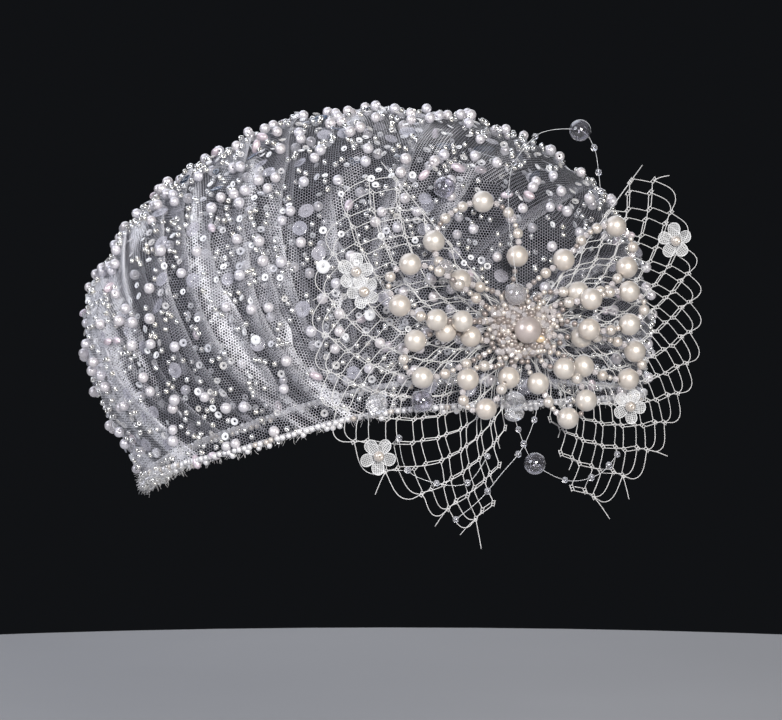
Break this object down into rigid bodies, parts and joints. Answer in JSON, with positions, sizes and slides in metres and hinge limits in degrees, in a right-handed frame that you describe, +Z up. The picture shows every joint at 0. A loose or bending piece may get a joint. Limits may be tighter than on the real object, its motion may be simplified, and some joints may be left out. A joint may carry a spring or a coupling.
{
  "type": "beaded tulle bridal cap with birdcage veil bow",
  "caption": "Gathered bridal cap of beaded tulle with a pearl hem and, at one side, a bow of birdcage netting, looped pearl strings, small organza flowers and clear glass beads.",
  "frame": {"origin": "the middle of the crown's inner surface, where the cap rests on top of the head", "axes": "+Z up, +X towards the wearer's forehead, and the bow on the -Y side"},
  "size_m": [0.2288, 0.1936, 0.1496],
  "materials": {
    "beaded_tulle": "fine cool white tulle in layers, sewn with small pearls, lined seed beads and sequins",
    "pearl_white": "small white imitation pearls with a soft lustre",
    "birdcage_net": "coarse off-white netting, knotted thread with a faint sheen",
    "pearl_ivory": "ivory imitation pearls with a glossy lustre",
    "bead_cluster": "tiny pinkish pearls packed in a knot",
    "clear_glass": "clear glass beads on clear wire",
    "organza": "white stiffened organza petals"
  },
  "bodies": {
    "root": {"cap_crown": "beaded_tulle", "hem_pearl_string": "pearl_white", "net_fan_left": "birdcage_net", "net_fan_right": "birdcage_net", "bow_knot": "bead_cluster", "centre_pearl": "pearl_ivory", "crystal_sprig_top": "clear_glass", "crystal_sprig_low": "clear_glass", "hem_crystal_back": "clear_glass", "hem_crystal_front": "clear_glass", "crown_bubble": "clear_glass", "flower_left_high": "organza", "flower_left_low": "organza", "flower_right_high": "organza", "flower_right_low": "organza", "pearl_loop_left_1": "pearl_ivory", "pearl_loop_left_2": "pearl_ivory", "pearl_loop_left_3": "pearl_ivory", "pearl_loop_left_4": "pearl_ivory", "pearl_loop_right_1": "pearl_ivory", "pearl_loop_right_2": "pearl_ivory", "pearl_loop_right_3": "pearl_ivory", "pearl_loop_right_4": "pearl_ivory"}
  },
  "joints": []
}
